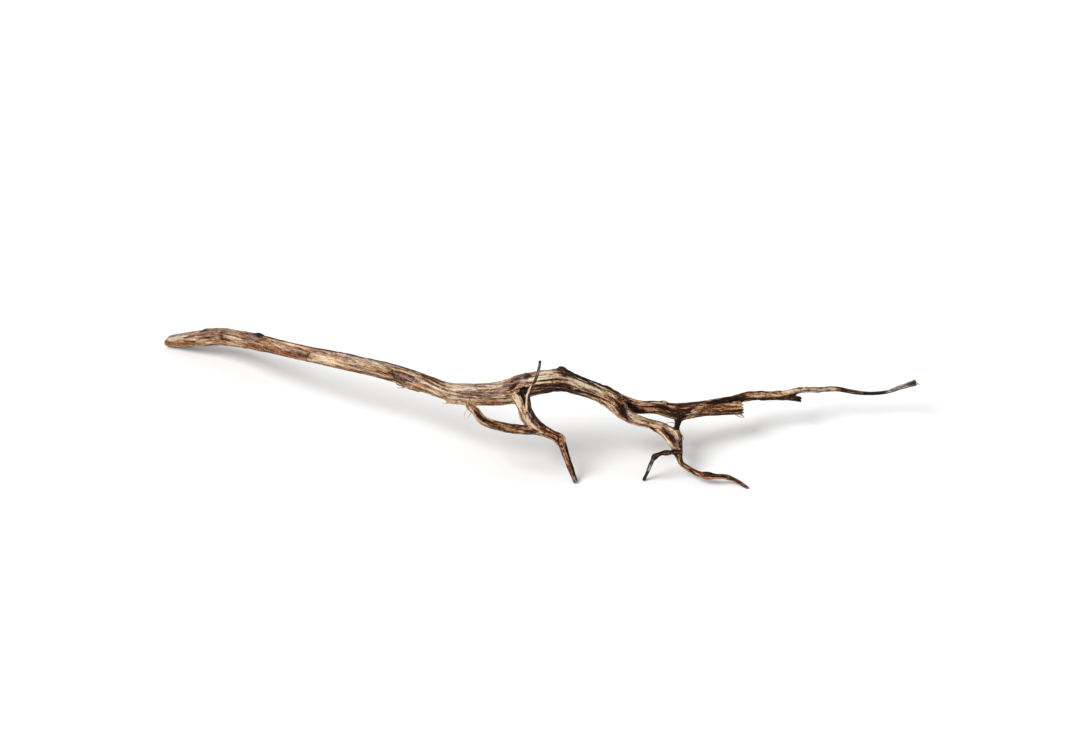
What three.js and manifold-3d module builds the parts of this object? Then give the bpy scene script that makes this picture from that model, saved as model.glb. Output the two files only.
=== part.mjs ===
// Snake wood: one dead, sun-bleached branch with its side limbs, resting on a cut end and three limb tips.
// Millimetres, +Z up. The origin is on the floor under the middle of the branch, +X runs along it
// from the thick cut end to the thin tip, and +Y points away from the side that the limbs reach out on.

import * as THREE from "three";
import { mergeVertices } from "three/addons/utils/BufferGeometryUtils.js";
import Module from "manifold-3d";

const wasm = await Module();
wasm.setup();

// Sizes of the facets: the step between rings along a limb, the sides of a limb by its thickness,
// and the sides and rings of a knot
const RING_STEP = 7;
const THICK_SIDES = 18;
const MIDDLE_SIDES = 12;
const THIN_SIDES = 8;
const KNOT_SIDES = 10;
const KNOT_RINGS = 7;

// The wood isn't round: broad lobes run along it and wind slowly about its pith, like a loose rope
const LOBES = [
  { count: 2, height: 0.06, turnsPerMetre: 0.9, start: 0.4 },
  { count: 3, height: 0.05, turnsPerMetre: -1.3, start: 2.1 },
  { count: 5, height: 0.025, turnsPerMetre: 1.8, start: 1.0 },
];

// The slanting saw cut that tapers the thick end: its place on the pith, and its slope to the pith
const CUT_POINT = new THREE.Vector3(-363, 114, 8.1);
const CUT_SLOPE_DEG = 13.7;
const CUT_TOOL = 60;

// The block below the floor that wears the resting points flat: its length, width and depth
const FLOOR_BLOCK = [1000, 500, 12];

// Each limb is a list of stations from its root to its end: x, y, z of the pith, and the radius

const TRUNK = [
  [-370, 116.3, 6.9, 7.3],
  [-354, 111, 10, 7.7],
  [-333, 104, 16, 8.2],
  [-311, 94, 25, 8.9],
  [-291, 77, 34, 8.4],
  [-272, 60, 42, 8.1],
  [-245, 41, 48, 7.4],
  [-214, 22, 53, 7.1],
  [-184, 6, 57, 7.7],
  [-154, -8, 59, 7.8],
  [-124, -25, 62, 8.4],
  [-100, -41, 64, 8.7],
  [-76, -56, 65, 8.6],
  [-52, -61, 67, 8.9],
  [-28, -65, 71, 10.2],
  [-8, -66, 78, 11.4],
  [14, -65, 82, 10.5],
  [29, -62, 81, 10],
  [44, -59, 74, 9.4],
  [61, -58, 66, 8.4],
  [79, -60, 57, 7.8],
  [87, -64, 51, 6],
];

// The dark limb that carries on past the fork, thins to a twig and lifts at its end
const TAIL = [
  [69, -58, 60.5, 6.5],
  [77, -57, 56.5, 7.2],
  [90, -57, 51, 7.3],
  [103, -58, 48, 6.6],
  [118, -54, 45, 6.4],
  [130, -54, 42, 7.1],
  [142, -55, 41, 7.8],
  [154, -49, 39, 6.8],
  [166, -42, 38, 5.3],
  [178, -37, 38, 4.4],
  [191, -32, 37, 4.1],
  [206, -25, 36.5, 4.5],
  [222, -21, 35, 4],
  [234, -19, 34, 3.5],
  [247, -16, 34, 3.1],
  [259, -11, 34, 2.7],
  [277, -6, 31, 2.6],
  [297, -2, 29, 2.3],
  [313, -3, 26, 2],
  [330, -1, 23, 1.7],
  [344, 0, 24, 1.7],
  [357, -2, 31, 2.1],
  [370.2, -4, 38, 2.7],
];

// A snapped limb under the tail, broken off square with a ragged end
const SNAPPED_LIMB = [
  [143, -54, 40, 5],
  [151, -51, 38.5, 6.1],
  [166, -46, 36, 5.9],
  [180, -42, 34, 6],
  [201, -38, 32, 5.1],
];

// A short dead spur further along the tail
const TAIL_SPUR = [
  [221, -21, 33, 2.2],
  [231, -20, 32, 2.4],
  [245, -19, 31, 2.3],
  [260, -20, 29, 2.2],
];

// The front limb of the fork: down to the knee, then out to the longest foot
const FORK_LEG = [
  [69, -58, 61, 6],
  [77, -61, 56, 7.3],
  [89, -68, 48, 6.4],
  [99, -71, 43, 5.4],
  [110, -71, 39, 4.6],
  [122, -71, 35, 4.5],
  [130, -73, 32, 4.3],
  [137, -80, 29, 4.1],
  [138.6, -89, 24, 3.7],
  [139.2, -95, 19, 3],
  [141, -100, 14, 2.9],
  [147.2, -104, 10.8, 2.7],
  [157, -110, 9, 2.8],
  [169, -114, 9, 2.5],
  [183, -113, 7.5, 2.4],
  [193, -115, 4, 1.8],
  [203.2, -121.7, 0.7, 1.2],
];

// A strand that leaves the front limb and joins it again at the knee, and the hollow web behind it
const KNEE_STRAND = [
  [118, -74, 34.5, 2.2],
  [124, -79.5, 31.5, 1.8],
  [129.5, -86, 28.5, 1.7],
  [134, -91.5, 25, 1.7],
  [138, -95, 21, 2],
];
const KNEE_WEB = [
  [124, -73, 33, 3],
  [130, -78.5, 30, 2.9],
  [134.5, -85, 26.5, 2.7],
  [138, -92, 22, 2.4],
];

// The thin foot that turns back from the knee
const BACK_FOOT = [
  [140, -93, 22, 2.2],
  [128, -99, 26, 2.2],
  [121, -103, 27, 2.1],
  [116, -105, 25.5, 2.1],
  [113, -106, 19, 1.9],
  [110, -106, 9, 1.8],
  [106, -109, 0.2, 1.5],
];

// A short strut that ties the tail to the knee
const STRUT = [
  [141, -54, 42, 5.5],
  [140.5, -60, 39.5, 5],
  [139, -66, 37, 3.8],
  [138, -72, 34, 2.9],
  [139.5, -78, 29, 2.6],
  [139, -84, 26, 2.4],
];

// The limb under the arch that forks into the front foot and the root spur
const FRONT_LEG = [
  [-12, -64, 77, 8.2],
  [-10, -72, 73, 8.2],
  [-7, -79, 69, 7.5],
  [-4, -85, 63, 6.5],
  [0, -91, 58, 6.2],
  [8, -95, 51, 5.6],
  [19, -95, 44, 4.7],
  [27.5, -95, 37.5, 4.4],
  [31.2, -98, 30, 3.6],
  [34, -102, 22, 3.3],
  [38, -106, 11, 2.9],
  [42.3, -113, 0.8, 2.2],
];

// The root spur that runs back along the branch and ends ragged beside the trunk
const ROOT_SPUR = [
  [12, -96, 49.5, 4.1],
  [0, -97, 50, 3.8],
  [-12, -97, 51, 3.7],
  [-25, -95, 52, 3.7],
  [-37, -93, 54.5, 3.6],
  [-46, -90, 58, 4],
  [-52, -84, 63, 3.8],
  [-59, -80, 68, 3.1],
];

// The thin upright twig in front of the trunk
const UPRIGHT_TWIG = [
  [0, -88, 60, 2.4],
  [-2, -89, 66, 1.7],
  [-3, -89, 77, 1.6],
  [-1, -91, 90, 1.6],
  [3, -95, 102, 1.6],
  [7, -101, 118, 1.6],
  [9, -105, 134, 1.3],
];

// Slivers of wood that have lifted along the underside of the trunk
const LONG_SLIVER = [
  [-79, -61, 56, 0.7],
  [-65, -65, 58.2, 1.8],
  [-49, -68, 60, 2.3],
  [-31, -71, 62.5, 2.4],
  [-15, -74, 66, 2],
];
const SHORT_SLIVER = [
  [-127, -29, 54, 0.7],
  [-118, -34, 55.2, 1.9],
  [-106, -43, 57.5, 2],
];

// Knots: centre and the half-widths along x, y and z
const KNOTS = [
  { centre: [29, -57.5, 87.5], half: [6, 5, 4.2] },
  { centre: [-268, 61.5, 46.8], half: [5, 3.5, 3.3] },
  { centre: [69, -54.5, 66.5], half: [4.8, 3.5, 3.2] },
  { centre: [85, -69, 55], half: [5.5, 4.5, 6] },
  { centre: [27.5, -96, 38.5], half: [5, 5.2, 5.4] },
  { centre: [-6, -66, 84], half: [11, 7, 7] },
];

/** A closed tube round a limb's stations: a unit cylinder whose rings are set along the pith.
 *  The start angle turns its lobes, so that no two limbs swell alike. */
function limbGeometry(stations, sides, startAngle = 0) {
  const points = stations.map(([x, y, z]) => new THREE.Vector3(x, y, z));
  const pith = new THREE.CatmullRomCurve3(points, false, "centripetal");
  const rings = Math.max(stations.length, Math.round(pith.getLength() / RING_STEP));
  const frames = pith.computeFrenetFrames(rings, false);
  const tube = new THREE.CylinderGeometry(1, 1, 1, sides, rings);
  const place = tube.attributes.position;
  const corner = new THREE.Vector3();
  for (let i = 0; i < place.count; i++) {
    corner.fromBufferAttribute(place, i);
    const ring = Math.round((0.5 - corner.y) * rings);
    const along = ring / rings;
    const angle = Math.atan2(corner.x, corner.z);
    const reach = Math.hypot(corner.x, corner.z) * radiusAt(stations, pith, along, angle + startAngle);
    const point = pith.getPointAt(along);
    point.addScaledVector(frames.normals[ring], Math.cos(angle) * reach);
    point.addScaledVector(frames.binormals[ring], -Math.sin(angle) * reach);
    place.setXYZ(i, point.x, point.y, point.z);
  }
  return tube;
}

/** The limb's radius at a share of its length and an angle about its pith, lobes included. */
function radiusAt(stations, pith, along, turn) {
  const place = pith.getUtoTmapping(along) * (stations.length - 1);
  const from = Math.min(Math.floor(place), stations.length - 2);
  const mean = THREE.MathUtils.lerp(stations[from][3], stations[from + 1][3], place - from);
  const metres = (along * pith.getLength()) / 1000;
  let swell = 1;
  for (const lobe of LOBES) {
    const wind = 2 * Math.PI * lobe.turnsPerMetre * metres;
    swell += lobe.height * Math.cos(lobe.count * (turn + wind + lobe.start));
  }
  return mean * swell;
}

/** A knot: a low-cut ball squashed to its half-widths. */
function knotGeometry({ centre, half }) {
  const ball = new THREE.SphereGeometry(1, KNOT_SIDES, KNOT_RINGS);
  ball.scale(...half);
  ball.translate(...centre);
  return ball;
}

/** The block that saws the thick end to a slant. */
function sawCutGeometry() {
  const [end, next] = [TRUNK[0], TRUNK[1]].map(([x, y, z]) => new THREE.Vector3(x, y, z));
  const pithWay = next.sub(end).normalize();
  const acrossWay = new THREE.Vector3(0, 0, 1).cross(pithWay).normalize();
  const upWay = new THREE.Vector3().crossVectors(pithWay, acrossWay);
  const slope = THREE.MathUtils.degToRad(CUT_SLOPE_DEG);
  const outWay = upWay.clone().multiplyScalar(Math.cos(slope)).addScaledVector(pithWay, -Math.sin(slope));
  const slantWay = new THREE.Vector3().crossVectors(acrossWay, outWay);
  const block = new THREE.BoxGeometry(2 * CUT_TOOL, CUT_TOOL, CUT_TOOL);
  block.translate(0, 0, CUT_TOOL / 2);
  const turn = new THREE.Matrix4().makeBasis(slantWay, acrossWay, outWay);
  block.applyMatrix4(turn.setPosition(CUT_POINT));
  return block;
}

/** The block under the floor, which wears the resting points flat. */
function floorGeometry() {
  const block = new THREE.BoxGeometry(...FLOOR_BLOCK);
  block.translate(0, 0, -FLOOR_BLOCK[2] / 2);
  return block;
}

/** A geometry as a solid that can be joined and cut. */
function solidOf(geometry) {
  geometry.deleteAttribute("normal");
  geometry.deleteAttribute("uv");
  const merged = mergeVertices(geometry);
  return new wasm.Manifold(
    new wasm.Mesh({
      numProp: 3,
      vertProperties: new Float32Array(merged.attributes.position.array),
      triVerts: new Uint32Array(merged.index.array),
    }),
  );
}

/** A solid back as a geometry. */
function geometryOf(solid) {
  const mesh = solid.getMesh();
  const geometry = new THREE.BufferGeometry();
  geometry.setAttribute("position", new THREE.BufferAttribute(mesh.vertProperties, 3));
  geometry.setIndex(new THREE.BufferAttribute(mesh.triVerts, 1));
  geometry.computeVertexNormals();
  return geometry;
}

/** The whole branch as it grew: every limb and knot joined in one solid, then sawn and worn. */
function branchGeometry() {
  const shapes = [
    limbGeometry(TAIL, MIDDLE_SIDES, 0.3),
    limbGeometry(SNAPPED_LIMB, MIDDLE_SIDES, 1.1),
    limbGeometry(TAIL_SPUR, THIN_SIDES, 0.5),
    limbGeometry(FORK_LEG, MIDDLE_SIDES, 2),
    limbGeometry(KNEE_STRAND, THIN_SIDES, 1.4),
    limbGeometry(KNEE_WEB, THIN_SIDES, 0.8),
    limbGeometry(BACK_FOOT, THIN_SIDES, 0.2),
    limbGeometry(STRUT, THIN_SIDES, 0.9),
    limbGeometry(FRONT_LEG, MIDDLE_SIDES, 1.7),
    limbGeometry(ROOT_SPUR, MIDDLE_SIDES, 0.6),
    limbGeometry(UPRIGHT_TWIG, THIN_SIDES, 0),
    limbGeometry(LONG_SLIVER, THIN_SIDES, 0),
    limbGeometry(SHORT_SLIVER, THIN_SIDES, 0),
    ...KNOTS.map(knotGeometry),
  ];
  let branch = solidOf(limbGeometry(TRUNK, THICK_SIDES));
  for (const shape of shapes) {
    branch = branch.add(solidOf(shape));
  }
  branch = branch.subtract(solidOf(sawCutGeometry()));
  branch = branch.subtract(solidOf(floorGeometry()));
  return geometryOf(branch);
}

const weatheredWood = new THREE.MeshStandardMaterial({ color: 0xa98c6e, roughness: 0.85, metalness: 0 });

const branch = new THREE.Mesh(branchGeometry(), weatheredWood);
branch.name = "snake_wood";

const snakeWood = new THREE.Group();
snakeWood.add(branch);

export default snakeWood;
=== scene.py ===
import itertools
import math

import bpy
import numpy as np
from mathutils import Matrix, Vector


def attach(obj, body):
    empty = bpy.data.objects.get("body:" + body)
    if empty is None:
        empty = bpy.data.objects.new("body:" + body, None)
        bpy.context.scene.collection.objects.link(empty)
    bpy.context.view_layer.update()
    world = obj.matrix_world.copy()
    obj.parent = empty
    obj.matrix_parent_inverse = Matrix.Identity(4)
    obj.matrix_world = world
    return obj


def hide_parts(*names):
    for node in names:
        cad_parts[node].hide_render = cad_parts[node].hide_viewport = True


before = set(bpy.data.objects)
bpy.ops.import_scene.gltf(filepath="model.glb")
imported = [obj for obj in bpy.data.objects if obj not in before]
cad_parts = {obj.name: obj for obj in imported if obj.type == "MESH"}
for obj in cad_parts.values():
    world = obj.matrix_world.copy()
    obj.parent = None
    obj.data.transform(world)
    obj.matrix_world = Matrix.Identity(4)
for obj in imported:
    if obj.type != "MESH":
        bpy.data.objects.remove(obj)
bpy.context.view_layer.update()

# The studio: a seamless white table that runs out of view, an even white surround, and one broad lamp from
# the left and a little from the front, which gives the soft shadows that fall to the right.

TABLE_WIDTH = 14
LAMP_DISTANCE = 2
LAMP_ELEVATION = math.radians(50)
LAMP_SIDE = math.radians(70)
LAMP_SPREAD = math.radians(34)
LAMP_STRENGTH = 2.5
SURROUND_STRENGTH = 0.57


def linear(hex_code):
    """An sRGB hex colour as the linear colour that the shader takes."""
    values = [int(hex_code[i:i + 2], 16) / 255 for i in (1, 3, 5)]
    return (*[v / 12.92 if v <= 0.04045 else ((v + 0.055) / 1.055) ** 2.4 for v in values], 1)


def add_node(tree, kind, inputs, output=0, stops=(), **settings):
    """Adds a node and gives one of its outputs. Its inputs are values or sockets to link, and its stops are
    those of a colour ramp."""
    node = tree.nodes.new(kind)
    for name, value in settings.items():
        setattr(node, name, value)
    for name, value in inputs.items():
        if isinstance(value, bpy.types.NodeSocket):
            tree.links.new(value, node.inputs[name])
        else:
            node.inputs[name].default_value = value
    for number, (position, colour) in enumerate(stops):
        element = node.color_ramp.elements[number] if number < 2 else node.color_ramp.elements.new(position)
        element.position, element.color = position, linear(colour)
    return node.outputs[output]


def new_material(name):
    """A material with its node tree and its shader, ready for nodes."""
    material = bpy.data.materials.new(name)
    material.use_nodes = True
    return material, material.node_tree, material.node_tree.nodes["Principled BSDF"]


# Matt white laminate, rolled out flat: no pattern that the eye could find, only a faint change in its
# gloss, in patches about 0.3 m across
PATCHES_PER_METRE = 3

table_laminate, tree, shader = new_material("matt_white_table_laminate")
place = add_node(tree, "ShaderNodeTexCoord", {}, "Object")
mottle = add_node(tree, "ShaderNodeTexNoise", {"Vector": place, "Scale": PATCHES_PER_METRE, "Detail": 2})
gloss = add_node(tree, "ShaderNodeMapRange", {"Value": mottle, "To Min": 0.82, "To Max": 0.9})
tree.links.new(gloss, shader.inputs["Roughness"])
shader.inputs["Base Color"].default_value = linear("#F4F4F4")
shader.inputs["Specular IOR Level"].default_value = 0.2

bpy.ops.object.select_all(action="DESELECT")
bpy.ops.mesh.primitive_plane_add(size=TABLE_WIDTH, location=(0, 0, 0))
table = bpy.context.object
table.name = "studio_table"
table.data.materials.append(table_laminate)

surround = bpy.data.worlds.new("white_surround")
surround.use_nodes = True
surround.node_tree.nodes["Background"].inputs["Color"].default_value = linear("#FFFFFF")
surround.node_tree.nodes["Background"].inputs["Strength"].default_value = SURROUND_STRENGTH
bpy.context.scene.world = surround

lamp_from = Vector((
    -math.sin(LAMP_SIDE) * math.cos(LAMP_ELEVATION),
    -math.cos(LAMP_SIDE) * math.cos(LAMP_ELEVATION),
    math.sin(LAMP_ELEVATION),
))
lamp_turn = lamp_from.to_track_quat("Z", "Y").to_euler()
bpy.ops.object.light_add(type="SUN", location=LAMP_DISTANCE * lamp_from, rotation=lamp_turn)
lamp = bpy.context.object
lamp.name = "broad_lamp"
lamp.data.energy = LAMP_STRENGTH
lamp.data.angle = LAMP_SPREAD

# The photograph's camera: 35 degrees up, straight in front, 2.4 m away with a long lens
AIM = Vector((0.0089, 0.0766, 0))
CAMERA_DISTANCE = 2.4
CAMERA_ELEVATION = math.radians(35)
LENS_MM = 80
SENSOR_MM = 36

to_camera = Vector((0, -math.cos(CAMERA_ELEVATION), math.sin(CAMERA_ELEVATION)))
camera_turn = to_camera.to_track_quat("Z", "Y").to_euler()
bpy.ops.object.camera_add(location=AIM + CAMERA_DISTANCE * to_camera, rotation=camera_turn)
camera = bpy.context.object
camera.data.lens = LENS_MM
camera.data.sensor_width = SENSOR_MM
bpy.context.scene.camera = camera
bpy.context.scene.view_settings.view_transform = "Standard"


# The branch: one dead stem with all its side limbs, grown in one piece, sawn at the thick end and snapped
# at others. Sun and rain have taken most of its bark and left furrowed, bleached wood with dark clefts.

MM = 0.001
# The width of the even faces, which keeps the branch just under 200,000 triangles
VOXEL = 0.835
# How softly the limbs run together in a crotch, and how round a limb's end is for its thickness
JOIN_SOFTNESS = 1.3
END_ROUNDNESS = 0.35
# The saw cut of the thick end: its face has swollen past the plane of the saw, and its rim is worn round
CUT_POINT = np.array([-363, 114, 8.1])
CUT_NORMAL = np.array([-0.387943, 0.128506, 0.912681])
CUT_SWELLING = 2.2
CUT_RIM = 3
# What lies on the floor is worn flat, with this rim
FLOOR_RIM = 0.4
# A limb's wood is looked for this far outside it, and FAR_OFF stands for no wood near
REACH = 9
FAR_OFF = 99.0

# The pith of each limb from its root to its end, in millimetres: x, y, z and the radius of the wood
LIMBS = {
    "trunk": [
        (-370, 116.3, 6.9, 7.3), (-354, 111, 10, 7.7), (-333, 104, 16, 8.2), (-311, 94, 25, 8.9),
        (-291, 77, 34, 8.4), (-272, 60, 42, 8.1), (-245, 41, 48, 7.4), (-214, 22, 53, 7.1),
        (-184, 6, 57, 7.7), (-154, -8, 59, 7.8), (-124, -25, 62, 8.4), (-100, -41, 64, 8.7),
        (-76, -56, 65, 8.6), (-52, -61, 67, 8.9), (-28, -65, 71, 10.2), (-8, -66, 78, 11.2),
        (14, -65, 82.4, 10.8), (29, -62, 81, 10), (44, -59, 74, 9.4), (61, -58, 66, 8.4),
        (79, -60, 57, 7.8), (87, -64, 51, 6),
    ],
    "tail": [
        (69, -58, 60.5, 6.5), (77, -57, 56.5, 7.2), (90, -57, 51, 7.3), (103, -58, 48, 6.6),
        (118, -54, 45, 6.4), (130, -54, 42, 7.1), (142, -55, 41, 7.8), (154, -49, 39, 6.8),
        (166, -42, 38, 5.3), (178, -37, 38, 4.4), (191, -32, 37, 4.1), (206, -25, 36.5, 4.5),
        (222, -21, 35, 4), (234, -19, 34, 3.5), (247, -16, 34, 3.1), (259, -11, 34, 2.7),
        (277, -6, 31, 2.6), (297, -2, 29, 2.3), (313, -3, 26, 2), (330, -1, 23, 1.7), (344, 0, 24, 1.8),
        (357, -2, 31, 2.3), (372.4, -4, 39, 3.1),
    ],
    "snapped_limb": [
        (143, -54, 40, 5), (151, -51, 38.5, 6.1), (166, -46, 36, 5.9), (180, -42, 34, 6),
        (201, -38, 32, 5.1),
    ],
    "tail_spur": [
        (221, -21, 33.2, 2.6), (231, -20, 32.4, 2.9), (245, -19, 31.4, 2.9), (260, -20, 29.6, 2.8),
    ],
    "fork_leg": [
        (69, -58, 61, 6), (77, -61, 56, 7.3), (89, -68, 48, 6.4), (99, -71, 43, 5.4), (110, -71, 39, 4.6),
        (122, -71, 35, 4.5), (130, -73, 32, 4.3), (137, -80, 29, 4.1), (138.6, -89, 24, 3.7),
        (139.2, -95, 19, 3), (141, -100, 14, 2.9), (147.2, -104, 10.8, 2.7), (157, -110, 9, 2.8),
        (169, -114, 9, 2.5), (183, -113, 7.5, 2.4), (193, -115, 4, 1.8), (203.2, -121.7, 0.7, 1.2),
    ],
    "knee_strand": [
        (118, -74, 34.5, 2.2), (124, -79.5, 31.5, 1.8), (129.5, -86, 28.5, 1.7), (134, -91.5, 25, 1.7),
        (138, -95, 21, 2),
    ],
    "knee_web": [(124, -73, 33, 3), (130, -78.5, 30, 2.9), (134.5, -85, 26.5, 2.7), (138, -92, 22, 2.4)],
    "back_foot": [
        (140, -93, 22, 2.2), (128, -99.3, 25.3, 1.9), (121, -103, 27, 1.9), (116, -105, 25.5, 2),
        (113, -106, 19, 1.9), (110, -106, 9, 1.8), (106, -109, 0.2, 1.5),
    ],
    "strut": [
        (141, -54, 42, 5.5), (140.5, -60, 39.5, 5), (139, -66, 37, 3.3), (138, -72, 34, 2.4),
        (139.5, -78, 29, 2.6), (139, -84, 26, 2.4),
    ],
    "front_leg": [
        (-12, -64, 77, 8.2), (-10, -72, 73, 8.2), (-7, -79, 69, 7.5), (-4, -85, 63, 6.5), (0, -91, 58, 6.2),
        (8, -95, 51, 5.6), (19, -95, 44, 4.7), (27.5, -95, 37.5, 4.4), (31.2, -98, 30, 3.6),
        (34, -102, 22, 3.3), (38, -106, 11, 2.9), (42.3, -113, 0.8, 2.2),
    ],
    "root_spur": [
        (12, -96, 49.5, 4.4), (0, -97, 50, 4.3), (-12, -97, 51, 4.4), (-25, -95, 52, 4.4),
        (-37, -93, 54.5, 4.4), (-46, -90, 58, 4.5), (-52, -84, 63, 4.2), (-59, -80, 68, 3.5),
    ],
    "upright_twig": [
        (0, -88, 60, 2.4), (-2, -89, 66, 1.7), (-3, -89, 77, 1.6), (-1, -91, 90, 1.6), (3, -95, 102, 1.6),
        (7, -101, 118, 1.6), (9, -105, 134, 1.3),
    ],
    "long_sliver": [
        (-79, -61, 56, 0.7), (-65, -65, 58.2, 1.8), (-49, -68, 60, 2.3), (-31, -71, 62.5, 2.4),
        (-15, -74, 66, 2),
    ],
    "short_sliver": [(-127, -29, 54, 0.7), (-118, -34, 55.2, 1.9), (-106, -43, 57.5, 2)],
}
# Grown-over knots: centre, and half-widths along x, y and z
KNOTS = [
    ((-326.3, 103.4, 22.7), (5.5, 4.6, 4.6)), ((125.5, -51, 47), (3.5, 2.6, 2.9)),
    ((29.5, -58.2, 88.2), (4.4, 4.6, 5.7)), ((-267, 61.5, 46.8), (4.2, 3.2, 3.3)),
    ((69, -54.5, 66.5), (4.8, 3.5, 3.2)), ((85, -69, 55), (5.5, 4.5, 6)),
    ((27.5, -96, 38.5), (4.7, 4.7, 5.2)), ((-6, -66, 83.5), (10, 6.5, 6.5)),
    ((127, -99.5, 25.4), (2.8, 1.9, 1.9)), ((116, -105, 25), (2.2, 2.2, 2.2)),
    ((166, -112.8, 9.3), (4.5, 2.6, 2.7)), ((3.5, -93.5, 57.5), (3.4, 3, 3.4)),
]
# On these limbs a place along is given by its x, on the others by its distance from the root
PLACED_BY_X = ("trunk", "tail", "snapped_limb", "tail_spur", "long_sliver", "short_sliver")


def pith_line(stations, step=1.5):
    """A limb's pith: close points on a smooth curve through its stations, with the axes at each point."""
    knots = np.array(stations, float)
    chord = np.r_[0, np.cumsum(np.linalg.norm(np.diff(knots[:, :3], axis=0), axis=1))]
    slope = np.gradient(knots, chord, axis=0)
    at = np.linspace(0, chord[-1], max(int(chord[-1] / step), 8))
    i = np.clip(np.searchsorted(chord, at, side="right") - 1, 0, len(chord) - 2)
    gap = (chord[i + 1] - chord[i])[:, None]
    t = (at - chord[i])[:, None] / gap
    curve = (
        knots[i] * (2 * t**3 - 3 * t**2 + 1) + knots[i + 1] * (3 * t**2 - 2 * t**3)
        + slope[i] * gap * (t**3 - 2 * t**2 + t) + slope[i + 1] * gap * (t**3 - t**2)
    )
    place = curve[:, :3]
    way = np.gradient(place, axis=0)
    way /= np.linalg.norm(way, axis=1)[:, None]
    left = np.cross(np.array(to_camera), way)
    left /= np.linalg.norm(left, axis=1)[:, None]
    along = np.r_[0, np.cumsum(np.linalg.norm(np.diff(place, axis=0), axis=1))]
    return {
        "place": place, "radius": curve[:, 3], "along": along,
        "way": way, "left": left, "front": np.cross(way, left),
    }


def on_limb(points, pith):
    """Where points lie on a limb: along it, past its end, off its pith and in which direction."""
    square = (pith["place"] ** 2).sum(1)
    nearest = np.concatenate([
        np.argmin(square - 2 * block @ pith["place"].T, axis=1)
        for block in np.array_split(points, max(len(points) // 20000, 1))
    ])
    offset = points - pith["place"][nearest]
    step = np.einsum("ij,ij->i", offset, pith["way"][nearest])
    radial = offset - step[:, None] * pith["way"][nearest]
    along = pith["along"][nearest] + step
    return {
        "along": along,
        "x": pith["place"][nearest, 0] + step * pith["way"][nearest, 0],
        "past": np.maximum(-along, along - pith["along"][-1]),
        "off": np.linalg.norm(radial, axis=1),
        "radial": radial,
        "way": pith["way"][nearest] * np.where(along > pith["along"][-1] / 2, 1, -1)[:, None],
        "turn": np.arctan2(
            np.einsum("ij,ij->i", radial, pith["left"][nearest]),
            np.einsum("ij,ij->i", radial, pith["front"][nearest]),
        ),
        "radius": np.interp(along, pith["along"], pith["radius"]),
    }


def unit(vectors):
    """Vectors at length one."""
    return vectors / np.maximum(np.linalg.norm(vectors, axis=-1, keepdims=True), 1e-9)


def soft_step(low, high, value):
    """0 below low, 1 above high and smooth between; turned over when low is the greater."""
    t = np.clip((value - low) / (high - low), 0, 1)
    return t * t * (3 - 2 * t)


def rounded_most(one, other, way_one, way_other, softness):
    """The greater of two distances with a rounded edge between them, and the way that it grows."""
    share = np.clip(0.5 + 0.5 * (one - other) / softness, 0, 1)
    most = other + (one - other) * share + softness * share * (1 - share)
    return most, unit(share[:, None] * way_one + (1 - share)[:, None] * way_other)


piths = {name: pith_line(stations) for name, stations in LIMBS.items()}


def wood_field(points):
    """How far points lie outside the wood, the way out, and each limb's share of the wood there."""
    outs, ways, spots = [], [], {}
    for name in LIMBS:
        pith = piths[name]
        reach = pith["radius"].max() + REACH
        above_lowest = points > pith["place"].min(0) - reach
        below_highest = points < pith["place"].max(0) + reach
        near = np.all(above_lowest & below_highest, axis=1)
        out = np.full(len(points), FAR_OFF)
        way = np.zeros_like(points)
        spot = on_limb(points[near], pith)
        # a limb isn't quite round: it has two and three shallow lobes, which wind slowly along it
        two_lobes = 0.035 * np.cos(2 * spot["turn"] + spot["along"] / 60)
        three_lobes = 0.025 * np.cos(3 * spot["turn"] - spot["along"] / 45)
        lobes = two_lobes + three_lobes
        out[near], way[near] = rounded_most(
            spot["off"] - spot["radius"] * (1 + lobes), spot["past"], unit(spot["radial"]), spot["way"],
            END_ROUNDNESS * pith["radius"].mean(),
        )
        outs.append(out)
        ways.append(way)
        spots[name] = (near, spot)
    for centre, half in KNOTS:
        inward = (points - centre) / half
        outs.append((np.linalg.norm(inward, axis=1) - 1) * min(half))
        ways.append(unit(inward / half))
    outs = np.array(outs)
    least = outs.min(0)
    shares = np.exp(-(outs - least) / JOIN_SOFTNESS)
    out = least - JOIN_SOFTNESS * np.log(shares.sum(0))
    way = unit(np.einsum("ln,lnk->nk", shares, np.array(ways)))
    out, way = rounded_most(out, (points - CUT_POINT) @ CUT_NORMAL - CUT_SWELLING, way, CUT_NORMAL, CUT_RIM)
    out, way = rounded_most(out, -points[:, 2], way, np.array([0, 0, -1.0]), FLOOR_RIM)
    limb_shares = shares[:len(LIMBS)] / shares[:len(LIMBS)].sum(0)
    return out, way, dict(zip(LIMBS, limb_shares)), spots


def smooth_noise(points, seed):
    """Noise from about -1 to 1, smooth, with waves about one unit long."""
    random = np.random.default_rng(seed)
    table = random.permutation(256)
    slopes = unit(random.normal(size=(256, 3)))
    cell = np.floor(points).astype(int)
    part = points - cell
    fade = part**3 * (part * (part * 6 - 15) + 10)
    total = np.zeros(len(points))
    for corner in itertools.product((0, 1), repeat=3):
        at = (cell + corner) & 255
        slope = slopes[table[(table[(table[at[:, 0]] + at[:, 1]) & 255] + at[:, 2]) & 255]]
        weight = np.prod(np.where(corner, fade, 1 - fade), axis=1)
        total += weight * np.einsum("ij,ij->i", slope, part - corner)
    return 1.6 * total


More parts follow.
